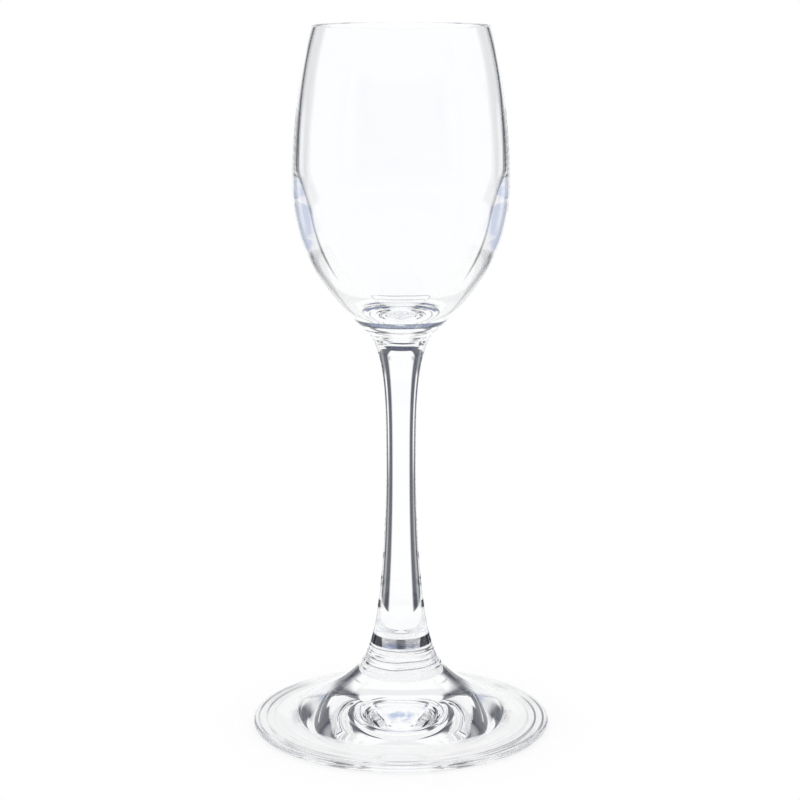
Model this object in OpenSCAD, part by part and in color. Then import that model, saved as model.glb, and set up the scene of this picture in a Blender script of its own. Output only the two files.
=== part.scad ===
// Liqueur glass: a tulip cup on a slim solid stem and a round flared foot.
// The bowl, the stem and the foot are formed apart and fused hot, flat face to flat face.
// Millimetres, +Z up, origin in the middle of the ring that the glass stands on.

/* [Foot] */
// Diameter of the foot over its rounded edge
foot_d = 64.2; // [58:0.2:72]
// Thickness of the foot at its edge
foot_edge = 1.4; // [1:0.1:2.4]
// Height of the face where the foot is fused to the stem
foot_h = 16.8; // [14:0.2:21]
// Lean of the flare at that face, away from upright, in degrees
foot_flare_lean = 20; // [12:1:32]
// Share of the way to the skirt over which the flare keeps that lean
foot_flare_hold = 0.35; // [0.2:0.01:0.45]
// Diameter of the skirt halfway down the cone between the flare and the plate
skirt_d = 33; // [28:0.2:38]
// Height of the skirt
skirt_h = 7.2; // [6:0.1:8.5]
// Fall of the skirt, in degrees
skirt_fall = 30; // [24:1:36]
// Share of the way to the flare over which the skirt keeps its fall
skirt_hold_above = 0.55; // [0.35:0.01:0.6]
// Share of the way to the edge over which the skirt keeps its fall
skirt_hold_below = 0.65; // [0.45:0.01:0.7]
// Fall of the plate where it meets the edge, in degrees
foot_fall = 2; // [1:1:8]
// Share of the way to the skirt over which the plate keeps that fall
foot_fall_hold = 0.57; // [0.4:0.01:0.6]
// Width of the flat ring that the glass stands on
foot_rest_w = 6; // [3:0.5:9]
// Rise of the hollow under the middle of the foot
foot_hollow = 3.9; // [3:0.1:5]
// Slope of the hollow where it leaves the ring, in degrees
foot_hollow_slope = 16; // [12:1:20]
// Share of the way to the middle over which the hollow keeps that slope
foot_hollow_hold = 0.4; // [0.25:0.01:0.45]
// Share of the way to the ring over which the middle of the hollow stays level
foot_hollow_level = 0.35; // [0.2:0.01:0.5]

/* [Stem] */
// Length of the stem between its two fused faces
stem_len = 69.4; // [55:0.2:90]
// Diameter of the stem at its slimmest
waist_d = 6.4; // [5:0.1:9]
// Height of the slimmest place above the foot
waist_h = 40.7; // [30:0.1:50]
// Diameter of the face where the stem is fused to the foot
stem_foot_d = 14.2; // [11:0.2:18]
// Diameter of the face where the stem is fused to the bowl
stem_bowl_d = 14.5; // [11:0.1:18]
// Share of the way down from the waist over which the stem stays slim
waist_hold_below = 0.34; // [0.2:0.01:0.5]
// Share of the way up from the waist over which the stem stays slim
waist_hold_above = 0.44; // [0.2:0.01:0.6]
// Share of the way from the foot over which the stem keeps the flare's lean
stem_foot_hold = 0.2; // [0.1:0.01:0.3]
// Share of the way from the bowl over which the stem keeps the bowl's lean
stem_bowl_hold = 0.2; // [0.1:0.01:0.3]

/* [Bowl outside] */
// Height of the bowl from its fused face to the rim
bowl_h = 63.8; // [52:0.2:76]
// Diameter of the bowl at its widest
bowl_d = 45.4; // [40:0.2:54]
// Height of the widest place above the fused face
belly_h = 31.2; // [26:0.2:38]
// Outside diameter of the rim
rim_d = 37; // [30:0.2:42]
// Lean of the rim towards the axis, in degrees
rim_lean = 17; // [6:1:24]
// Lean of the outline at the fused face, away from upright, in degrees
neck_lean = 43; // [32:1:52]
// Share of the way to the belly over which the bowl keeps that lean
neck_hold = 0.26; // [0.15:0.01:0.35]
// Share of the way down from the belly over which the bowl stays upright
belly_hold_below = 0.46; // [0.3:0.01:0.55]
// Share of the way up from the belly over which the bowl stays upright
belly_hold_above = 0.3; // [0.2:0.01:0.45]
// Share of the way down from the rim over which the bowl keeps the rim's lean
rim_hold = 0.26; // [0.15:0.01:0.45]

/* [Bowl inside] */
// Thickness of the wall at the rim
rim_wall = 0.8; // [0.6:0.1:1.6]
// Thickness of the wall at the widest place inside
belly_wall = 1.4; // [1:0.1:3]
// Height of the widest place inside above the fused face
cup_belly_h = 35; // [30:0.2:40]
// Thickness of the glass under the cup
cup_floor = 4.8; // [3:0.1:8]
// Share of the way up from the belly over which the cup stays upright
cup_hold_above = 0.4; // [0.25:0.01:0.55]
// Share of the way down from the belly over which the cup stays upright
cup_hold_below = 0.35; // [0.15:0.01:0.45]
// Share of the way to the belly over which the bottom of the cup stays level
cup_floor_hold = 0.25; // [0.1:0.01:0.4]

/* [Hidden] */
$fn = 128;

// Straight steps along each curve and round each small rounding
curve_steps = 14;
round_steps = 8;

// Heights of the two fused faces and of the rim
foot_joint_z = foot_h;
bowl_joint_z = foot_joint_z + stem_len;
rim_z = bowl_joint_z + bowl_h;

clear_glass = [0.88, 0.93, 0.95, 0.5];

// Direction in the half plane, as an angle above the level outward way
function heading(angle) = [cos(angle), sin(angle)];

// Point of a cubic curve with the four control points p
function on_curve(p, t) =
    pow(1 - t, 3) * p[0] + 3 * t * pow(1 - t, 2) * p[1] + 3 * t * t * (1 - t) * p[2] + pow(t, 3) * p[3];

// Points of the curve that leaves a along a_angle and comes to b along b_angle, without a itself.
// Each hold is the share of the straight way from a to b that the curve follows its own heading for.
function sweep(a, a_angle, a_hold, b, b_angle, b_hold) =
    let (
        way = norm(b - a),
        p = [a, a + way * a_hold * heading(a_angle), b - way * b_hold * heading(b_angle), b]
    )
    [for (i = [1 : curve_steps]) on_curve(p, i / curve_steps)];

// Points of an arc from one angle to another, with its first point and without its last
function rounding(centre, radius, from, to) =
    [for (i = [0 : round_steps - 1]) centre + radius * heading(from + (to - from) * i / round_steps)];

// The roundings start on the last point of the curve before them, which is left out there
function but_last(points) = [for (i = [0 : len(points) - 2]) points[i]];

// Places that two curves or two pieces share
foot_face = [stem_foot_d / 2, foot_joint_z];
bowl_face = [stem_bowl_d / 2, bowl_joint_z];
waist = [waist_d / 2, foot_joint_z + waist_h];
belly = [bowl_d / 2, bowl_joint_z + belly_h];
cup_belly = [bowl_d / 2 - belly_wall, bowl_joint_z + cup_belly_h];
cup_bottom = [0, bowl_joint_z + cup_floor];
skirt = [skirt_d / 2, skirt_h];

// Roundings of the rim and of the foot's edge
rim_round = rim_wall / 2;
rim_centre = [rim_d / 2 - rim_round, rim_z - rim_round];
rim_outside = rim_centre + rim_round * heading(rim_lean);
rim_inside = rim_centre - rim_round * heading(rim_lean);
edge_round = foot_edge / 2;
edge_centre = [foot_d / 2 - edge_round, edge_round];
edge_top = edge_centre + edge_round * heading(90 - foot_fall);
rest_outside = [edge_centre[0], 0];
rest_inside = rest_outside - [foot_rest_w, 0];
hollow_top = [0, foot_hollow];

bowl_outside = concat(
    [bowl_face],
    sweep(bowl_face, 90 - neck_lean, neck_hold, belly, 90, belly_hold_below),
    sweep(belly, 90, belly_hold_above, rim_outside, 90 + rim_lean, rim_hold)
);
bowl_inside = concat(
    [rim_inside],
    sweep(rim_inside, rim_lean - 90, rim_hold, cup_belly, -90, cup_hold_above),
    sweep(cup_belly, -90, cup_hold_below, cup_bottom, 180, cup_floor_hold)
);
rim_edge = rounding(rim_centre, rim_round, rim_lean, 180 + rim_lean);

module bowl() {
    color(clear_glass)
    rotate_extrude()
    polygon(concat([[0, bowl_joint_z]], but_last(bowl_outside), rim_edge, bowl_inside));
}

module stem() {
    color(clear_glass)
    rotate_extrude()
    polygon(concat(
        [[0, foot_joint_z], foot_face],
        sweep(foot_face, 90 + foot_flare_lean, stem_foot_hold, waist, 90, waist_hold_below),
        sweep(waist, 90, waist_hold_above, bowl_face, 90 - neck_lean, stem_bowl_hold),
        [[0, bowl_joint_z]]
    ));
}

module foot() {
    top_face = concat(
        sweep(foot_face, foot_flare_lean - 90, foot_flare_hold, skirt, -skirt_fall, skirt_hold_above),
        sweep(skirt, -skirt_fall, skirt_hold_below, edge_top, -foot_fall, foot_fall_hold)
    );
    color(clear_glass)
    rotate_extrude()
    polygon(concat(
        [[0, foot_joint_z], foot_face],
        but_last(top_face),
        rounding(edge_centre, edge_round, 90 - foot_fall, -90),
        [rest_outside, rest_inside],
        sweep(rest_inside, 180 - foot_hollow_slope, foot_hollow_hold, hollow_top, 180, foot_hollow_level)
    ));
}

bowl();
stem();
foot();
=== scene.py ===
"""Looks of the liqueur glass: its bowl, stem and foot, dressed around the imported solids."""

import logging
import math
from dataclasses import dataclass
from enum import Enum

import bpy
import numpy as np
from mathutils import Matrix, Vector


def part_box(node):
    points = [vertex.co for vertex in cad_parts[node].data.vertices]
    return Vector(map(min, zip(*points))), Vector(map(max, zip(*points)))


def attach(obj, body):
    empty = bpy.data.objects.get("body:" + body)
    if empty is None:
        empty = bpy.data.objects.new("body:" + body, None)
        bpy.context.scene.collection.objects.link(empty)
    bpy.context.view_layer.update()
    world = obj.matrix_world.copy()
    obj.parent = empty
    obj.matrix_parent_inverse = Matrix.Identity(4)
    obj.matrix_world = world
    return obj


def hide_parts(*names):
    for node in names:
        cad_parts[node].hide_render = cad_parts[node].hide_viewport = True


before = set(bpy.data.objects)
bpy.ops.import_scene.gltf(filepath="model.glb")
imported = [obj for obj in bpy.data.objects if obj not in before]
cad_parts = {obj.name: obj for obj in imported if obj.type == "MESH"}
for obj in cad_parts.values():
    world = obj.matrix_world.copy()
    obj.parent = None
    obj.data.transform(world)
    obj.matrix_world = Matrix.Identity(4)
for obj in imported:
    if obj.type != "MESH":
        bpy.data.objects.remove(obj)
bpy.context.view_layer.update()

LOG = logging.getLogger("liqueur_glass")
MM = 0.001

# Straight steps along a plain curve, along one that carries fine relief, and round an edge
CURVE_STEPS = 64
FINE_STEPS = 192
ROUND_STEPS = 24
# Faces round the axis
SEGMENTS = 192
# Faces that a ray has gone through when both walls of the cup are behind it
CUP_CROSSINGS = 4

# Material slots of each piece
GLASS_SLOT = 0
FUSED_SLOT = 1

# Cords for each wave of the melt, and the noise at which a cord and the handling film start and are full
CORDS_PER_WAVE = 2.3
CORD_RANGE = (0.5, 0.75)
FILM_RANGE = (0.52, 0.72)

Colour = tuple[float, float, float, float]
Socket = bpy.types.NodeSocket
WHITE: Colour = (1.0, 1.0, 1.0, 1.0)
# Factors that bring a place down to the level plane through the origin
LEVEL = (1.0, 1.0, 0.0)


def heading(angle: float) -> np.ndarray:
    """Direction in the half plane, for an angle in degrees above the level outward way."""
    return np.array([math.cos(math.radians(angle)), math.sin(math.radians(angle))])


def sweep(
    a: np.ndarray,
    a_angle: float,
    a_hold: float,
    b: np.ndarray,
    b_angle: float,
    b_hold: float,
    steps: int = CURVE_STEPS,
) -> np.ndarray:
    """Curve that leaves one point along a heading and comes to another along its own.

    Args:
        a: First point, as radius and height.
        a_angle: Heading at the first point, in degrees.
        a_hold: Share of the straight way over which the first heading is kept.
        b: Last point.
        b_angle: Heading at the last point, in degrees.
        b_hold: Share of the straight way over which the last heading is kept.
        steps: Straight steps along the curve.

    Returns:
        Points of the curve, with both ends.
    """
    way = float(np.linalg.norm(b - a))
    p = (a, a + way * a_hold * heading(a_angle), b - way * b_hold * heading(b_angle), b)
    t = np.linspace(0.0, 1.0, steps + 1)[:, None]
    return (1 - t) ** 3 * p[0] + 3 * t * (1 - t) ** 2 * p[1] + 3 * t * t * (1 - t) * p[2] + t ** 3 * p[3]


def rounding(centre: np.ndarray, radius: float, start: float, end: float) -> np.ndarray:
    """Arc about a centre, from one angle to another in degrees, with both ends."""
    angles = np.radians(np.linspace(start, end, ROUND_STEPS + 1))
    return centre + radius * np.stack([np.cos(angles), np.sin(angles)], axis=1)


def joined(*stretches: np.ndarray) -> np.ndarray:
    """One outline from stretches that each start where the last one ends."""
    return np.concatenate([stretches[0]] + [s[1:] for s in stretches[1:]])


def bump_window(place: np.ndarray, middle: float, reach: float) -> np.ndarray:
    """Weight that is 1 in the middle of a stretch and falls smoothly to 0 at its two ends."""
    share = np.clip(np.abs(place - middle) / reach, 0.0, 1.0)
    return np.cos(share * math.pi / 2) ** 2


@dataclass(frozen=True)
class WeldRings:
    """Fine rings that the hot glass keeps round a fused face.

    The rings sway a little on their way round and fade on the far side, as hand-fused ones do.
    """

    z: float
    reach: float
    spacing: float
    height: float
    sway: float
    fade: float

    def swell(self, z: np.ndarray, angles: np.ndarray) -> np.ndarray:
        """How far the surface stands out.

        Args:
            z: Heights of the rings of points.
            angles: Angles round the axis, in radians.

        Returns:
            Added radius, one row for each height and one column for each angle.
        """
        phase = self.sway * (np.sin(angles) + np.sin(2 * angles + 1) / 2)
        wave = np.cos(2 * math.pi * (z[:, None] - self.z) / self.spacing + phase[None, :])
        strength = 1 - self.fade * (1 - np.cos(angles)) / 2
        return self.height * bump_window(z, self.z, self.reach)[:, None] * strength[None, :] * wave


@dataclass(frozen=True)
class WeldRidge:
    """Narrow uneven ridge where the glass of one piece has stopped running over another."""

    z: float
    half_width: float
    height: float
    sway: float

    def swell(self, z: np.ndarray, angles: np.ndarray) -> np.ndarray:
        """How far the surface stands out.

        Args:
            z: Heights of the rings of points.
            angles: Angles round the axis, in radians.

        Returns:
            Added radius, one row for each height and one column for each angle.
        """
        middle = self.z + self.sway * (np.sin(3 * angles + 1) + np.sin(7 * angles) / 2)
        return self.height * np.exp(-(((z[:, None] - middle[None, :]) / self.half_width) ** 2))


@dataclass(frozen=True)
class FusedFace:
    """Flat face where two pieces have run together, with the outline's lean away from upright there.

    The upper piece has run over the lower one, so that its side of the seam is hollow.
    """

    z: float
    d: float
    lean: float
    rings: WeldRings
    sunk: float
    sunk_in: float

    @property
    def edge(self) -> np.ndarray:
        """Point of the outline on the face's edge."""
        return np.array([self.d / 2, self.z])

    @property
    def middle(self) -> np.ndarray:
        """Point of the face on the axis."""
        return np.array([0.0, self.z])

    @property
    def hollow(self) -> np.ndarray:
        """Outline of the seam's hollow side, from the axis to the face's edge."""
        shoulder = self.edge + np.array([-self.sunk_in, self.sunk])
        return np.array([[0.0, shoulder[1]], shoulder, self.edge])


STEM_LOW, STEM_HIGH = (corner.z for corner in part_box("stem"))
FOOT_FACE = FusedFace(
    z=STEM_LOW,
    d=14.2 * MM,
    lean=20,
    sunk=4.9 * MM,
    sunk_in=2.4 * MM,
    rings=WeldRings(
        z=STEM_LOW - 1 * MM, reach=5.5 * MM, spacing=1.5 * MM, height=0.05 * MM, sway=0.9, fade=0.7
    ),
)
BOWL_FACE = FusedFace(
    z=STEM_HIGH,
    d=14.5 * MM,
    lean=43,
    sunk=3.9 * MM,
    sunk_in=-1.3 * MM,
    rings=WeldRings(
        z=STEM_HIGH + 0.4 * MM, reach=4.2 * MM, spacing=1.05 * MM, height=0.065 * MM, sway=0.6, fade=0.9
    ),
)
COLLAR_END = WeldRidge(z=STEM_LOW - 3.1 * MM, half_width=0.32 * MM, height=0.14 * MM, sway=0.22 * MM)
WELDS = (FOOT_FACE.rings, BOWL_FACE.rings, COLLAR_END)


def placed(name: str, data: bpy.types.ID) -> bpy.types.Object:
    """Put a new object in the scene.

    Args:
        name: Name of the object.
        data: Its mesh or camera.

    Returns:
        The new object.
    """
    thing = bpy.data.objects.new(name, data)
    bpy.context.scene.collection.objects.link(thing)
    return thing


def turned(name: str, outline: np.ndarray, fused_ends: tuple[int, int]) -> bpy.types.Object:
    """Closed body of revolution about +Z, with the relief of the welds on its outside.

    Args:
        name: Name of the piece.
        outline: Points as radius and height, from one end on the axis to the other.
        fused_ends: How many stretches at the start and at the end are fused faces.

    Returns:
        The new object, with its fused faces in their own material slot.
    """
    rings = outline[1:-1]
    angles = np.linspace(0.0, 2 * math.pi, SEGMENTS, endpoint=False)
    radii = rings[:, :1] + sum(weld.swell(rings[:, 1], angles) for weld in WELDS)
    heights = np.repeat(rings[:, 1:], SEGMENTS, axis=1)
    around = np.stack([radii * np.sin(angles), -radii * np.cos(angles), heights], axis=2).reshape(-1, 3)
    ends = [np.array([[0.0, 0.0, end[1]]]) for end in (outline[0], outline[-1])]
    verts = np.concatenate([ends[0], around, ends[1]])

    here = np.arange(SEGMENTS)
    after = (here + 1) % SEGMENTS
    last_ring = 1 + (len(rings) - 1) * SEGMENTS
    faces = [(0, 1 + b, 1 + a) for a, b in zip(here, after)]
    for low in range(1, last_ring, SEGMENTS):
        high = low + SEGMENTS
        faces += [(low + a, low + b, high + b, high + a) for a, b in zip(here, after)]
    faces += [(last_ring + a, last_ring + b, len(verts) - 1) for a, b in zip(here, after)]
    slots = np.full(len(faces), GLASS_SLOT)
    slots[:fused_ends[0] * SEGMENTS] = FUSED_SLOT
    slots[len(faces) - fused_ends[1] * SEGMENTS:] = FUSED_SLOT

    mesh = bpy.data.meshes.new(name)
    mesh.from_pydata(verts.tolist(), [], faces)
    mesh.polygons.foreach_set("use_smooth", [True] * len(faces))
    mesh.polygons.foreach_set("material_index", slots)
    mesh.update()
    sharpen_fused_edges(mesh)
    return placed(name, mesh)


def sharpen_fused_edges(mesh: bpy.types.Mesh) -> None:
    """Mark the edges between fused and free faces as sharp, so that each keeps its own shading.

    Args:
        mesh: Mesh of a piece, with its material slots set.
    """
    keys_of: dict[int, set[tuple[int, int]]] = {GLASS_SLOT: set(), FUSED_SLOT: set()}
    for face in mesh.polygons:
        keys_of[face.material_index].update(face.edge_keys)
    shared = keys_of[GLASS_SLOT] & keys_of[FUSED_SLOT]
    for edge in mesh.edges:
        edge.use_edge_sharp = edge.key in shared


class Graph:
    """Node tree that is being wired."""

    def __init__(self, tree: bpy.types.NodeTree) -> None:
        """Start from an empty tree."""
        tree.nodes.clear()
        self.tree = tree

    def add(
        self, kind: str, inputs: dict[str | int, object] | None = None, **settings: object
    ) -> bpy.types.Node:
        """Add a node.

        Args:
            kind: The node's type.
            inputs: A value or a socket for each input that is set, by its name or number.
            settings: Properties of the node itself.

        Returns:
            The new node.
        """
        node = self.tree.nodes.new(kind)
        for key, value in settings.items():
            setattr(node, key, value)
        for key, value in (inputs or {}).items():
            if isinstance(value, Socket):
                self.tree.links.new(value, node.inputs[key])
            else:
                node.inputs[key].default_value = value
        return node

    def math(self, operation: str, *values: float | Socket) -> Socket:
        """Result of a Math node on one to three values."""
        return self.add("ShaderNodeMath", dict(enumerate(values)), operation=operation).outputs[0]

    def product(self, first: Socket, *others: float | Socket) -> Socket:
        """Two or more values multiplied.

        Args:
            first: First value.
            others: Values that it is multiplied by.

        Returns:
            The product.
        """
        for value in others:
            first = self.math("MULTIPLY", first, value)
        return first

    def rest(self, share: Socket) -> Socket:
        """What a share leaves of 1."""
        return self.math("SUBTRACT", 1.0, share)

    def step(self, value: Socket, low: float, high: float) -> Socket:
        """Smooth step from 0 at one value to 1 at another."""
        limits = {"Value": value, "From Min": low, "From Max": high}
        return self.add("ShaderNodeMapRange", limits, interpolation_type="SMOOTHSTEP").outputs["Result"]

    def edge(self, value: Socket, at: float, soft: float) -> Socket:
        """Smooth step about one value."""
        return self.step(value, at - soft, at + soft)

    def mix(self, factor: float | Socket, a: Colour | Socket, b: Colour | Socket) -> Socket:
        """Colour between two others."""
        return self.add("ShaderNodeMix", {0: factor, 6: a, 7: b}, data_type="RGBA").outputs[2]

    def place(self) -> Socket:
        """Place that is shaded, in the object's own coordinates."""
        return self.add("ShaderNodeTexCoord").outputs["Object"]

    def axes(self, place: Socket) -> dict[str, Socket]:
        """Coordinates of a place, by their axes' names."""
        outputs = self.add("ShaderNodeSeparateXYZ", {0: place}).outputs
        return {axis: outputs[axis] for axis in "XYZ"}

    def scaled(self, place: Socket, factors: tuple[float, float, float] | Socket) -> Socket:
        """Place with its three coordinates multiplied."""
        return self.add("ShaderNodeVectorMath", {0: place, 1: factors}, operation="MULTIPLY").outputs[0]

    def length(self, place: Socket) -> Socket:
        """Distance of a place from the origin."""
        return self.add("ShaderNodeVectorMath", {0: place}, operation="LENGTH").outputs["Value"]

    def noise(self, place: Socket, scale: float | Socket, detail: float) -> Socket:
        """Cloudy value about 0.5."""
        inputs = {"Vector": place, "Scale": scale, "Detail": detail}
        return self.add("ShaderNodeTexNoise", inputs).outputs["Fac"]


def new_material(name: str) -> tuple[bpy.types.Material, Graph]:
    """Start a material.

    Args:
        name: Name of the material.

    Returns:
        The new material, and the graph of its nodes.
    """
    material = bpy.data.materials.new(name)
    material.use_nodes = True
    return material, Graph(material.node_tree)


def new_group(name: str, inputs: dict[str, str], outputs: dict[str, str]) -> tuple[Graph, bpy.types.Node]:
    """Start a shader node group.

    Args:
        name: Name of the group.
        inputs: Socket type of each named input.
        outputs: Socket type of each named output.

    Returns:
        The group's graph, and the node that gives its inputs.
    """
    tree = bpy.data.node_groups.new(name, "ShaderNodeTree")
    for way, sockets in (("INPUT", inputs), ("OUTPUT", outputs)):
        for socket, kind in sockets.items():
            tree.interface.new_socket(socket, in_out=way, socket_type=kind)
    graph = Graph(tree)
    return graph, graph.add("NodeGroupInput")


def melt_group() -> bpy.types.NodeTree:
    """Group for the soft waves and faint cords that the melt leaves in a surface.

    Returns:
        The group, with a height for a bump and a colour for the glass.
    """
    graph, given = new_group(
        "melt_waves",
        {"Stretch": "NodeSocketVector", "Clear": "NodeSocketColor", "Cord": "NodeSocketColor"},
        {"Height": "NodeSocketFloat", "Color": "NodeSocketColor"},
    )
    stretched = graph.scaled(graph.place(), given.outputs["Stretch"])
    waves = graph.noise(stretched, 1.0, 1.0)
    cords = graph.step(graph.noise(stretched, CORDS_PER_WAVE, 3.0), *CORD_RANGE)
    tint = graph.mix(cords, given.outputs["Clear"], given.outputs["Cord"])
    graph.add("NodeGroupOutput", {"Height": waves, "Color": tint})
    return graph.tree


def film_group() -> bpy.types.NodeTree:
    """Group for the thin film that washing and handling leave on glass.

    Returns:
        The group, with a roughness.
    """
    graph, given = new_group(
        "handling_film",
        {"Size": "NodeSocketFloat", "Most": "NodeSocketFloat"},
        {"Roughness": "NodeSocketFloat"},
    )
    per_metre = graph.math("DIVIDE", 1.0, given.outputs["Size"])
    share = graph.step(graph.noise(graph.place(), per_metre, 4.0), *FILM_RANGE)
    graph.add("NodeGroupOutput", {"Roughness": graph.product(share, given.outputs["Most"])})
    return graph.tree


class Working(Enum):
    """How a piece was worked while hot, as the size of its surface waves along X, Y and Z, in metres."""

    BLOWN = (11 * MM, 11 * MM, 16 * MM)
    DRAWN = (1.6 * MM, 1.6 * MM, 40 * MM)
    PRESSED = (9 * MM, 9 * MM, 9 * MM)


@dataclass(frozen=True)
class PressRingsWithShade:
    """Shallow rings that the mould leaves on the plate near its edge, with painted shade in their hollows.

    The painted grey stands for the dark lines that refraction draws there. It starts and is full at two
    depths of each hollow, and is broken up in patches.
    """

    r: float = 30.1 * MM
    reach: float = 3.0 * MM
    spacing: float = 1.7 * MM
    height: float = 0.04 * MM
    depths: tuple[float, float] = (-0.4, -0.9)
    patch: float = 18 * MM
    patch_range: tuple[float, float] = (0.33, 0.55)

    def rise(self, r: np.ndarray) -> np.ndarray:
        """Added height at each radius."""
        wave = np.cos(2 * math.pi * (r - self.r) / self.spacing)
        return self.height * bump_window(r, self.r, self.reach) * wave

    def painted_shade(self, graph: Graph, place: Socket) -> Socket:
        """How much painted shade the hollows put on a place.

        Args:
            graph: Nodes of the material.
            place: Place on the piece.

        Returns:
            Share from 0 to 1.
        """
        level = graph.scaled(place, LEVEL)
        off = graph.math("SUBTRACT", graph.length(level), self.r)
        wave = graph.math("COSINE", graph.product(off, 2 * math.pi / self.spacing))
        near = graph.step(graph.math("ABSOLUTE", off), self.reach, self.reach / 2)
        patches = graph.step(graph.noise(level, 1 / self.patch, 2.0), *self.patch_range)
        return graph.product(graph.step(wave, *self.depths), near, patches)


@dataclass(frozen=True)
class WeldShadeLines:
    """Thin grey lines painted round a fused end, where hot glass has run over it: painted shade that stands
    for the dark rings that refraction shows there.

    They sway up and down on their way round, and are broken up in patches.
    """

    heights: tuple[float, ...]
    half_width: float = 0.13 * MM
    sway: float = 1.2 * MM
    patch: float = 7 * MM
    patch_range: tuple[float, float] = (0.3, 0.45)

    def painted_shade(self, graph: Graph, place: Socket) -> Socket:
        """How much painted shade the lines put on a place.

        Args:
            graph: Nodes of the material.
            place: Place on the piece.

        Returns:
            Share from 0 to 1.
        """
        noise = graph.noise(place, 1 / self.patch, 1.0)
        swayed = graph.math("MULTIPLY_ADD", noise, self.sway, graph.axes(place)["Z"])
        lines: Socket | float = 0.0
        for height in self.heights:
            off = graph.math("ABSOLUTE", graph.math("SUBTRACT", swayed, height + self.sway / 2))
            lines = graph.math("MAXIMUM", lines, graph.step(off, self.half_width, self.half_width / 2))
        return graph.product(lines, graph.step(noise, *self.patch_range))


@dataclass(frozen=True)
class GlassFinish:
    """Clear glass with the traces of how it was worked.

    Waves and cords come from the melt, and a thin film from handling. Rings and lines are painted grey:
    painted shade that stands for dark lines of refraction.
    """

    name: str
    working: Working
    clear: Colour = (0.992, 0.996, 1.0, 1.0)
    cord: Colour = (0.975, 0.986, 0.996, 1.0)
    wave: float = 0.012 * MM
    film: float = 0.012
    film_size: float = 14 * MM
    ior: float = 1.5
    shade: Colour = (0.965, 0.97, 0.98, 1.0)
    rings: PressRingsWithShade | None = None
    lines: WeldShadeLines | None = None
    # Grey of the painted shade along the rings and lines
    painted_shade_grey: Colour = (0.22, 0.226, 0.245, 1.0)

    def material(self, melt: bpy.types.NodeTree, film: bpy.types.NodeTree) -> bpy.types.Material:
        """Make the material.

        Args:
            melt: Group for waves and cords.
            film: Group for the handling film.

        Returns:
            The new material.
        """
        material, graph = new_material(self.name)
        waves = graph.add("ShaderNodeGroup", node_tree=melt)
        waves.inputs["Stretch"].default_value = tuple(1 / size for size in self.working.value)
        waves.inputs["Clear"].default_value = self.clear
        waves.inputs["Cord"].default_value = self.cord
        haze = graph.add("ShaderNodeGroup", node_tree=film)
        haze.inputs["Size"].default_value = self.film_size
        haze.inputs["Most"].default_value = self.film
        bump = graph.add("ShaderNodeBump", {"Distance": self.wave, "Height": waves.outputs["Height"]})
        colour = waves.outputs["Color"]
        # Painted shade: the grey is mixed into the glass colour along the rings and lines
        for marks in (self.rings, self.lines):
            if marks:
                colour = graph.mix(marks.painted_shade(graph, graph.place()), colour, self.painted_shade_grey)
        glass = graph.add(
            "ShaderNodeBsdfPrincipled",
            {
                "Base Color": colour,
                "Roughness": haze.outputs["Roughness"],
                "IOR": self.ior,
                "Transmission Weight": 1.0,
                "Normal": bump.outputs["Normal"],
            },
        )
        shade = graph.add("ShaderNodeBsdfTransparent", {"Color": self.shade})
        to_light = graph.add("ShaderNodeLightPath").outputs["Is Shadow Ray"]
        both = graph.add("ShaderNodeMixShader", {0: to_light, 1: glass.outputs[0], 2: shade.outputs[0]})
        graph.add("ShaderNodeOutputMaterial", {"Surface": both.outputs[0]})
        return material


@dataclass(frozen=True)
class Band:
    """Level band between two heights, with soft edges inside it."""

    low: float
    high: float
    soft: float
    dark: float

    def share(self, graph: Graph, height: Socket) -> Socket:
        """How dark the band makes a place.

        Args:
            graph: Nodes of the material.
            height: Height of the place.

        Returns:
            Share from 0 to 1.
        """
        above = graph.step(height, self.low, self.low + self.soft)
        below = graph.step(height, self.high, self.high - self.soft)
        return graph.product(above, below, self.dark)


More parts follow.
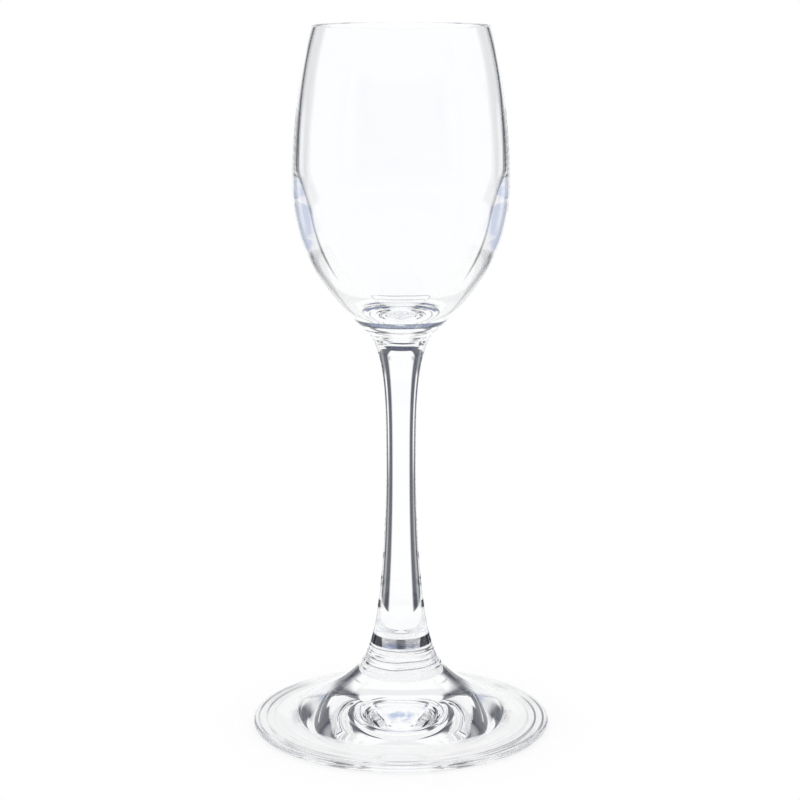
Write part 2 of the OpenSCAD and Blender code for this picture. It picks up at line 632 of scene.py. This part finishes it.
@dataclass(frozen=True)
class SeamFinish:
    """Face inside the glass where two pieces have run together, which light passes unbent.

    A level band of its front half, towards the camera, is painted with a thin streaked film: painted shade
    that stands for the dark band refraction shows there, solid at its two ends and darker in its middle,
    with a narrow painted line under it.
    The face's middle can carry a painted bluish reflection.
    """

    name: str
    # Painted shade: film is how strong the dark band is
    film: float = 0.0
    band: Band = Band(0.0, 1.0, 0.1, 1.0)
    line: Band = Band(0.0, 1.0, 0.1, 0.0)
    painted_shade_colour: Colour = (0.03, 0.032, 0.045, 1.0)
    middle: float = 0.52
    painted_shade_blot: float = 0.0
    painted_shade_blot_radius: float = 1.4 * MM
    end_from: float = 3.7 * MM
    end_to: float = 4.1 * MM
    half_soft: float = 1.0 * MM
    # Painted bluish reflection in the face's middle
    painted_reflection: float = 0.0
    painted_reflection_radius: float = 3.6 * MM
    painted_reflection_range: tuple[float, float] = (0.6, 0.42)
    painted_reflection_colour: Colour = (0.55, 0.62, 0.79, 1.0)
    streak_size: tuple[float, float, float] = (2.6 * MM, 2.6 * MM, 0.9 * MM)
    streak_range: tuple[float, float] = (0.8, 0.5)

    def material(self) -> bpy.types.Material:
        """Make the material.

        Returns:
            The new material.
        """
        material, graph = new_material(self.name)
        place = graph.place()
        axes = graph.axes(place)
        streaks = graph.noise(graph.scaled(place, tuple(1 / size for size in self.streak_size)), 1.0, 2.0)
        # Painted shade on the half towards the camera: a streaked dark band with solid ends, a darker
        # middle and a line under it
        across = graph.math("ABSOLUTE", axes["X"])
        painted_shade_blot = graph.step(across, self.painted_shade_blot_radius, self.painted_shade_blot_radius / 3)
        share = graph.math("MULTIPLY_ADD", painted_shade_blot, self.painted_shade_blot, self.middle)
        share = graph.product(share, graph.step(streaks, *self.streak_range))
        share = graph.math("MAXIMUM", share, graph.step(across, self.end_from, self.end_to))
        share = graph.product(share, self.band.share(graph, axes["Z"]))
        share = graph.math("MAXIMUM", share, self.line.share(graph, axes["Z"]))
        share = graph.product(share, graph.step(axes["Y"], self.half_soft, -self.half_soft), self.film)
        # Painted bluish reflection in the middle of the face
        out = graph.length(graph.scaled(place, LEVEL))
        painted_reflection = graph.product(graph.step(out, self.painted_reflection_radius, self.painted_reflection_radius / 2), self.painted_reflection)
        painted_reflection = graph.product(painted_reflection, graph.step(streaks, *self.painted_reflection_range))
        colour = graph.mix(share, graph.mix(painted_reflection, WHITE, self.painted_reflection_colour), self.painted_shade_colour)
        clear = graph.add("ShaderNodeBsdfTransparent", {"Color": colour})
        graph.add("ShaderNodeOutputMaterial", {"Surface": clear.outputs[0]})
        return material


@dataclass
class GlassPiece:
    """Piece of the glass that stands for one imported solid."""

    node: str
    finish: GlassFinish
    fused_ends: tuple[int, int]
    seam: SeamFinish

    def outline(self) -> np.ndarray:
        """Points of the outline as radius and height, from one end on the axis to the other."""
        raise NotImplementedError

    def build(self) -> bpy.types.Object:
        """Make the piece's mesh and put it in its solid's place.

        Returns:
            The new object.
        """
        piece = turned("glass_" + self.node, self.outline(), self.fused_ends)
        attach(piece, "root")
        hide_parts(self.node)
        return piece

    def dress(self, piece: bpy.types.Object, melt: bpy.types.NodeTree, film: bpy.types.NodeTree) -> None:
        """Give the piece its glass, and its fused faces theirs."""
        piece.data.materials.append(self.finish.material(melt, film))
        piece.data.materials.append(self.seam.material())


@dataclass
class Bowl(GlassPiece):
    """Blown tulip cup with a thick bottom and a fire-polished rim."""

    node: str = "bowl"
    # Painted shade lines round the neck, above the fused face
    neck_lines: WeldShadeLines = WeldShadeLines(
        (STEM_HIGH + 0.9 * MM, STEM_HIGH + 2.2 * MM), half_width=0.2 * MM, sway=0.5 * MM, patch=11 * MM
    )
    finish: GlassFinish = GlassFinish("bowl_glass", Working.BLOWN, lines=neck_lines)
    fused_ends: tuple[int, int] = (2, 0)
    # Painted bluish shade band just above the neck's fused face
    seam: SeamFinish = SeamFinish(
        "bowl_seam_painted_shade",
        film=0.9,
        band=Band(STEM_HIGH + 2.2 * MM, STEM_HIGH + 3.8 * MM, 0.2 * MM, 1.0),
        painted_shade_colour=(0.16, 0.21, 0.34, 1.0),
        middle=0.9,
    )
    belly_d: float = 45.4 * MM
    belly_h: float = 31.2 * MM
    belly_hold_below: float = 0.46
    belly_hold_above: float = 0.3
    neck_hold: float = 0.26
    rim_d: float = 37 * MM
    rim_z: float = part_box("bowl")[1].z
    rim_lean: float = 17
    rim_hold: float = 0.26
    rim_wall: float = 0.8 * MM
    belly_wall: float = 1.4 * MM
    cup_belly_h: float = 35 * MM
    cup_floor: float = 4.8 * MM
    cup_hold_above: float = 0.4
    cup_hold_below: float = 0.35
    cup_floor_hold: float = 0.25

    def outline(self) -> np.ndarray:
        """Outline of the bowl.

        Returns:
            Points from the fused face round the rim to the cup's bottom.
        """
        face = BOWL_FACE.edge
        belly = np.array([self.belly_d / 2, BOWL_FACE.z + self.belly_h])
        half_wall = self.rim_wall / 2
        rim = np.array([self.rim_d / 2 - half_wall, self.rim_z - half_wall])
        rim_outside = rim + half_wall * heading(self.rim_lean)
        rim_inside = rim - half_wall * heading(self.rim_lean)
        cup_belly = np.array([self.belly_d / 2 - self.belly_wall, BOWL_FACE.z + self.cup_belly_h])
        cup_bottom = np.array([0.0, BOWL_FACE.z + self.cup_floor])
        return joined(
            BOWL_FACE.hollow,
            sweep(face, 90 - BOWL_FACE.lean, self.neck_hold, belly, 90, self.belly_hold_below, FINE_STEPS),
            sweep(belly, 90, self.belly_hold_above, rim_outside, 90 + self.rim_lean, self.rim_hold),
            rounding(rim, half_wall, self.rim_lean, 180 + self.rim_lean),
            sweep(rim_inside, self.rim_lean - 90, self.rim_hold, cup_belly, -90, self.cup_hold_above),
            sweep(cup_belly, -90, self.cup_hold_below, cup_bottom, 180, self.cup_floor_hold),
        )


@dataclass
class Stem(GlassPiece):
    """Drawn solid stem, waisted between its two flared ends."""

    node: str = "stem"
    finish: GlassFinish = GlassFinish("stem_glass", Working.DRAWN, wave=0.004 * MM)
    fused_ends: tuple[int, int] = (2, 1)
    # Painted dark band and line just above the foot's fused face
    seam: SeamFinish = SeamFinish(
        "stem_seam_painted_shade",
        film=1.0,
        band=Band(STEM_LOW + 1.3 * MM, STEM_LOW + 3.4 * MM, 0.2 * MM, 1.0),
        line=Band(STEM_LOW + 0.75 * MM, STEM_LOW + 1.0 * MM, 0.1 * MM, 0.7),
        painted_shade_blot=0.35,
    )
    waist_d: float = 6.4 * MM
    waist_h: float = 40.7 * MM
    waist_hold_below: float = 0.34
    waist_hold_above: float = 0.44
    foot_hold: float = 0.2
    bowl_hold: float = 0.2

    def outline(self) -> np.ndarray:
        """Outline of the stem.

        Returns:
            Points from the foot to the bowl.
        """
        waist = np.array([self.waist_d / 2, FOOT_FACE.z + self.waist_h])
        low, high = FOOT_FACE.edge, BOWL_FACE.edge
        return joined(
            FOOT_FACE.hollow,
            sweep(low, 90 + FOOT_FACE.lean, self.foot_hold, waist, 90, self.waist_hold_below, FINE_STEPS),
            sweep(waist, 90, self.waist_hold_above, high, 90 - BOWL_FACE.lean, self.bowl_hold, FINE_STEPS),
            np.array([high, BOWL_FACE.middle]),
        )


@dataclass
class Foot(GlassPiece):
    """Pressed round foot, hollow below, with the flare that rises to the stem."""

    node: str = "foot"
    # Press rings: real relief, with painted shade in their hollows
    press_rings: PressRingsWithShade = PressRingsWithShade()
    # Painted shade lines round the collar, below the fused face
    collar_lines: WeldShadeLines = WeldShadeLines((STEM_LOW - 1.2 * MM, STEM_LOW - 2.5 * MM))
    finish: GlassFinish = GlassFinish(
        "foot_glass", Working.PRESSED, wave=0.008 * MM, rings=press_rings, lines=collar_lines
    )
    fused_ends: tuple[int, int] = (0, 1)
    # Painted bluish reflection in the middle of the foot's fused face
    seam: SeamFinish = SeamFinish("foot_seam_painted_reflection", painted_reflection=1.0)
    foot_d: float = 64.2 * MM
    edge_t: float = 1.4 * MM
    flare_hold: float = 0.35
    skirt_d: float = 33 * MM
    skirt_h: float = 7.2 * MM
    skirt_fall: float = 30
    skirt_hold_above: float = 0.55
    skirt_hold_below: float = 0.65
    plate_fall: float = 2
    plate_hold: float = 0.57
    rest_w: float = 6 * MM
    hollow: float = 3.9 * MM
    hollow_slope: float = 16
    hollow_hold: float = 0.4
    hollow_level: float = 0.35

    def outline(self) -> np.ndarray:
        """Outline of the foot.

        Returns:
            Points from under its middle round its edge to the stem.
        """
        half_edge = self.edge_t / 2
        edge = np.array([self.foot_d / 2 - half_edge, half_edge])
        edge_top = edge + half_edge * heading(90 - self.plate_fall)
        skirt = np.array([self.skirt_d / 2, self.skirt_h])
        face = FOOT_FACE.edge
        rest_outside = np.array([edge[0], 0.0])
        rest_inside = rest_outside - np.array([self.rest_w, 0.0])
        hollow_top = np.array([0.0, self.hollow])
        fall = -self.skirt_fall
        slope = 180 - self.hollow_slope
        hollow = sweep(rest_inside, slope, self.hollow_hold, hollow_top, 180, self.hollow_level)
        lean = FOOT_FACE.lean - 90
        flare = sweep(face, lean, self.flare_hold, skirt, fall, self.skirt_hold_above, FINE_STEPS)
        level = -self.plate_fall
        plate = sweep(skirt, fall, self.skirt_hold_below, edge_top, level, self.plate_hold, FINE_STEPS)
        plate[:, 1] += self.press_rings.rise(plate[:, 0])
        return joined(
            hollow[::-1],
            np.array([rest_inside, rest_outside]),
            rounding(edge, half_edge, -90, 90 - self.plate_fall),
            plate[::-1],
            flare[::-1],
            np.array([face, FOOT_FACE.middle]),
        )


def round_wall(
    name: str, radius: float, low: float, high: float, finish: bpy.types.Material
) -> bpy.types.Object:
    """Round wall about the glass, out of the camera's sight and out of the light's way.

    Args:
        name: Name of the wall.
        radius: Radius of the wall.
        low: Height of its lower edge.
        high: Height of its upper edge.
        finish: Material of the wall.

    Returns:
        The new object, hidden from the camera, from diffuse rays and from shadows.
    """
    angles = np.linspace(0.0, 2 * math.pi, SEGMENTS, endpoint=False)
    circle = np.stack([np.sin(angles), np.cos(angles)], axis=1) * radius
    verts = [(x, y, z) for z in (low, high) for x, y in circle]
    turn = [(i, (i + 1) % SEGMENTS) for i in range(SEGMENTS)]
    mesh = bpy.data.meshes.new(name)
    mesh.from_pydata(verts, [], [(a, b, SEGMENTS + b, SEGMENTS + a) for a, b in turn])
    mesh.materials.append(finish)
    wall = placed(name, mesh)
    wall.visible_camera = False
    wall.visible_diffuse = False
    wall.visible_shadow = False
    return wall


@dataclass(frozen=True)
class RayKinds:
    """Kinds of ray that the studio tells apart, each as a mask from 0 to 1, and how far they come."""

    once: Socket
    twice: Socket
    not_through: Socket
    length: Socket

    @classmethod
    def of(cls, graph: Graph) -> "RayKinds":
        """Masks of the rays that meet a material.

        Args:
            graph: Nodes of the material.

        Returns:
            Masks of the rays that faces have mirrored just once, of those mirrored more than once, and of
            those that have not gone through both walls of the cup, and the length of their last leg.
        """
        path = graph.add("ShaderNodeLightPath").outputs
        mirrors, crossings = path["Glossy Depth"], path["Transmission Depth"]
        return cls(
            graph.math("COMPARE", mirrors, 1.0, 0.5),
            graph.step(mirrors, 1.0, 2.0),
            graph.step(crossings, CUP_CROSSINGS, CUP_CROSSINGS - 1),
            path["Ray Length"],
        )


@dataclass(frozen=True)
class Board:
    """Dark lens-shaped board that hangs behind the glass, or a pair of them at its two sides.

    How dark it is depends on whether a ray comes to it direct, mirrored once or mirrored more than once.
    """

    name: str
    low: float
    high: float
    turn: float
    half_width: float
    dark: Colour
    radius: float
    direct: float
    once: float
    twice: float
    edge_soft: float = 0.4

    def build(self) -> bpy.types.Object:
        """Make the board as part of a round wall."""
        return round_wall(self.name, self.radius, self.low, self.high, self.cloth())

    def cloth(self) -> bpy.types.Material:
        """Dark cloth that fades to clear at its edges.

        Returns:
            The new material.
        """
        material, graph = new_material(f"{self.name}_cloth")
        axes = graph.axes(graph.place())
        turn = graph.math("DEGREES", graph.math("ABSOLUTE", graph.math("ARCTAN2", axes["X"], axes["Y"])))
        off = graph.math("DIVIDE", graph.math("SUBTRACT", turn, self.turn), self.half_width)
        across = graph.math("POWER", off, 2.0)
        half_height = (self.high - self.low) / 2
        above = graph.math("DIVIDE", graph.math("SUBTRACT", axes["Z"], self.low + half_height), half_height)
        out = graph.math("MULTIPLY_ADD", above, above, across)
        rays = RayKinds.of(graph)
        seen = graph.math("MULTIPLY_ADD", rays.once, self.once - self.direct, self.direct)
        seen = graph.math("MULTIPLY_ADD", rays.twice, self.twice - self.direct, seen)
        share = graph.product(graph.step(out, 1.0, 1.0 - self.edge_soft), rays.not_through, seen)
        clear = graph.add("ShaderNodeBsdfTransparent")
        glow = graph.add("ShaderNodeEmission", {"Color": self.dark, "Strength": 1.0})
        cloth = graph.add("ShaderNodeMixShader", {0: share, 1: clear.outputs[0], 2: glow.outputs[0]})
        graph.add("ShaderNodeOutputMaterial", {"Surface": cloth.outputs[0]})
        return material


@dataclass(frozen=True)
class Screen:
    """Round paper screen of the studio, white with dark panels, that only the glass shows.

    The panels stand in fours, with wings towards the axes, so that the glass has the same dark lines
    from each side. The windows between them close to an arch. A dark rail runs under the ceiling, and
    a lower one at both sides. What the glass mirrors of the camera's side is pale, and rays straight down
    through the cup's mouth see plain paper, so that the cup stays clear.
    """

    radius: float = 1000 * MM
    low: float = -600 * MM
    high: float = 1200 * MM
    panel_from: float = 25
    gap_from: float = 40
    edge_soft: float = 3
    half_quarter: float = 45
    arch: float = 12
    arch_from: float = 240 * MM
    arch_to: float = 390 * MM
    panel: Band = Band(-580 * MM, 540 * MM, 60 * MM, 1.0)
    gap: Band = Band(-220 * MM, 140 * MM, 80 * MM, 0.7)
    gap_light: float = 0.3
    wing: Band = Band(165 * MM, 245 * MM, 25 * MM, 0.5)
    wing_from: float = 20
    rail: Band = Band(880 * MM, 1120 * MM, 60 * MM, 0.85)
    rail_from: float = 16
    rail_soft: float = 6
    side_rail: Band = Band(190 * MM, 440 * MM, 40 * MM, 0.95)
    side_from: float = 500 * MM
    side_to: float = 850 * MM
    pale_from: float = -250 * MM
    pale_to: float = -500 * MM
    front: Band = Band(30 * MM, 420 * MM, 50 * MM, 1.0)
    front_from: float = -550 * MM
    front_to: float = -700 * MM
    front_tint: Colour = (0.66, 0.71, 0.86, 1.0)
    mouth_from: float = 74 * MM
    mouth_to: float = 86 * MM
    steep_from: float = -120 * MM
    steep_to: float = -180 * MM
    dark: Colour = (0.055, 0.062, 0.085, 1.0)

    def build(self) -> bpy.types.Object:
        """Make the screen."""
        return round_wall("studio_screen", self.radius, self.low, self.high, self.paper())

    def paper(self) -> bpy.types.Material:
        """White paper with the panels, the rails and the pale camera side.

        Returns:
            The new material.
        """
        material, graph = new_material("screen_paper")
        axes = graph.axes(graph.place())
        turn = graph.math("DEGREES", graph.math("ARCTAN2", axes["X"], axes["Y"]))
        off_axis = graph.math("PINGPONG", turn, self.half_quarter)
        rays = RayKinds.of(graph)
        mirrored = graph.math("ADD", rays.once, rays.twice)
        panels = self.panels(graph, off_axis, axes["Z"], rays)
        rail = graph.edge(off_axis, self.rail_from, self.rail_soft)
        rail = graph.product(rail, self.rail.share(graph, axes["Z"]))
        beside = graph.step(graph.math("ABSOLUTE", axes["X"]), self.side_from, self.side_to)
        beside = graph.product(beside, self.side_rail.share(graph, axes["Z"]), rays.twice)
        share = graph.math("MAXIMUM", graph.math("MAXIMUM", panels, rail), beside)
        camera_side = graph.product(mirrored, graph.step(axes["Y"], self.pale_from, self.pale_to))
        mouth = graph.product(self.from_mouth(graph, axes["Z"], rays.length), graph.rest(mirrored))
        share = graph.product(share, rays.not_through, graph.rest(camera_side), graph.rest(mouth))
        haze = graph.product(mirrored, graph.step(axes["Y"], self.front_from, self.front_to))
        haze = graph.product(haze, self.front.share(graph, axes["Z"]))
        colour = graph.mix(share, graph.mix(haze, WHITE, self.front_tint), self.dark)
        glow = graph.add("ShaderNodeEmission", {"Color": colour, "Strength": 1.0})
        graph.add("ShaderNodeOutputMaterial", {"Surface": glow.outputs[0]})
        return material

    def panels(self, graph: Graph, off_axis: Socket, z: Socket, rays: RayKinds) -> Socket:
        """How dark the panels and their wings make a place.

        Args:
            graph: Nodes of the screen's material.
            off_axis: Angle from the nearest axis, in degrees.
            z: Height of the place.
            rays: Kinds of ray that meet the screen.

        Returns:
            Share from 0 to 1.
        """
        arch = graph.product(graph.step(z, self.arch_from, self.arch_to), self.arch, graph.rest(rays.once))
        width = graph.edge(graph.math("ADD", off_axis, arch), self.panel_from, self.edge_soft)
        middle = graph.edge(off_axis, self.gap_from, self.edge_soft)
        light = graph.math("ADD", self.gap.share(graph, z), self.gap_light)
        shut = graph.rest(graph.product(middle, light))
        panel = graph.product(self.panel.share(graph, z), width, shut)
        wing = graph.edge(off_axis, self.wing_from, self.edge_soft)
        wing = graph.product(wing, graph.rest(middle), self.wing.share(graph, z))
        return graph.math("MAXIMUM", panel, wing)

    def from_mouth(self, graph: Graph, z: Socket, length: Socket) -> Socket:
        """Mask of the steep rays that come from as high up as the cup.

        Args:
            graph: Nodes of the screen's material.
            z: Height at which the ray meets the screen.
            length: How far it has come.

        Returns:
            Mask from 0 to 1.
        """
        squared = graph.math("MULTIPLY_ADD", length, length, -self.radius * self.radius)
        start = graph.math("ADD", z, graph.math("SQRT", graph.math("MAXIMUM", squared, 0.0)))
        high = graph.step(start, self.mouth_from, self.mouth_to)
        return graph.product(high, graph.step(z, self.steep_from, self.steep_to))


@dataclass(frozen=True)
class Floor:
    """Pale round floor under the glass, white where nothing shades it."""

    radius: float = 47 * MM
    fade_from: float = 36 * MM
    drop: float = 0.15 * MM
    colour: Colour = (0.25, 0.25, 0.25, 1.0)
    fibre: Colour = (0.238, 0.239, 0.242, 1.0)
    fibre_size: float = 0.8 * MM
    fibre_range: tuple[float, float] = (0.45, 0.7)
    glow: float = 0.75

    def build(self) -> bpy.types.Object:
        """Make the floor just under the resting ring.

        Returns:
            The new object.
        """
        angles = np.linspace(0.0, 2 * math.pi, SEGMENTS, endpoint=False)
        rim = [(self.radius * math.sin(a), -self.radius * math.cos(a), -self.drop) for a in angles]
        faces = [(0, 1 + i, 1 + (i + 1) % SEGMENTS) for i in range(SEGMENTS)]
        mesh = bpy.data.meshes.new("floor")
        mesh.from_pydata([(0.0, 0.0, -self.drop)] + rim, [], faces)
        mesh.materials.append(self.paper())
        floor = placed("floor", mesh)
        return floor

    def paper(self) -> bpy.types.Material:
        """Pale paper that keeps the glass's shadow, and fades to plain white at the floor's edge.

        Returns:
            The new material.
        """
        material, graph = new_material("floor_paper")
        place = graph.place()
        fibres = graph.step(graph.noise(place, 1 / self.fibre_size, 3.0), *self.fibre_range)
        paper = graph.add("ShaderNodeBsdfDiffuse", {"Color": graph.mix(fibres, self.colour, self.fibre)})
        glow = graph.add("ShaderNodeEmission", {"Color": WHITE, "Strength": self.glow})
        both = graph.add("ShaderNodeAddShader", {0: paper.outputs[0], 1: glow.outputs[0]})
        white = graph.add("ShaderNodeEmission", {"Color": WHITE, "Strength": 1.0})
        fade = graph.step(graph.length(place), self.fade_from, self.radius)
        faded = graph.add("ShaderNodeMixShader", {0: fade, 1: both.outputs[0], 2: white.outputs[0]})
        graph.add("ShaderNodeOutputMaterial", {"Surface": faded.outputs[0]})
        return material


@dataclass(frozen=True)
class Studio:
    """White surroundings, floor, screen, boards and camera."""

    floor: Floor = Floor()
    screen: Screen = Screen()
    boards: tuple[Board, ...] = (
        Board(
            name="back_board",
            low=290 * MM,
            high=650 * MM,
            turn=0,
            half_width=28,
            dark=(0.055, 0.062, 0.11, 1.0),
            radius=980 * MM,
            direct=1.0,
            once=0.15,
            twice=0.15,
        ),
        Board(
            name="side_board",
            low=-20 * MM,
            high=66 * MM,
            turn=85,
            half_width=35,
            dark=(0.055, 0.062, 0.085, 1.0),
            radius=300 * MM,
            direct=0.0,
            once=0.0,
            twice=1.0,
        ),
    )
    camera_left: float = 0.22 * MM
    camera_back: float = 457.4 * MM
    camera_up: float = 165.6 * MM
    camera_tilt: float = 11.63
    lens: float = 99.0
    sensor: float = 36.0
    light_bounces: int = 96

    def build(self) -> None:
        """Set up the surroundings and the way light is followed through the glass."""
        scene = bpy.context.scene
        scene.view_settings.view_transform = "Standard"
        scene.cycles.max_bounces = self.light_bounces
        scene.cycles.transmission_bounces = self.light_bounces
        scene.cycles.glossy_bounces = self.light_bounces
        scene.cycles.transparent_max_bounces = self.light_bounces
        world = bpy.data.worlds.new("white_surroundings")
        world.use_nodes = True
        graph = Graph(world.node_tree)
        white = graph.add("ShaderNodeBackground", {"Color": WHITE, "Strength": 1.0})
        graph.add("ShaderNodeOutputWorld", {"Surface": white.outputs[0]})
        scene.world = world
        self.floor.build()
        self.screen.build()
        for board in self.boards:
            board.build()
        self.place_camera()

    def place_camera(self) -> None:
        """Camera at the photograph's viewing angle."""
        data = bpy.data.cameras.new("camera")
        data.lens = self.lens
        data.sensor_width = self.sensor
        camera = placed("camera", data)
        camera.location = (-self.camera_left, -self.camera_back, self.camera_up)
        camera.rotation_euler = (math.radians(90 - self.camera_tilt), 0.0, 0.0)
        bpy.context.scene.camera = camera


def main() -> None:
    """Build the studio and the pieces of the glass, and log each piece's face count."""
    logging.basicConfig(level=logging.INFO)
    Studio().build()
    melt, film = melt_group(), film_group()
    for part in (Foot(), Stem(), Bowl()):
        piece = part.build()
        part.dress(piece, melt, film)
        LOG.info("%s: %d faces", piece.name, len(piece.data.polygons))


if __name__ == "__main__":
    main()
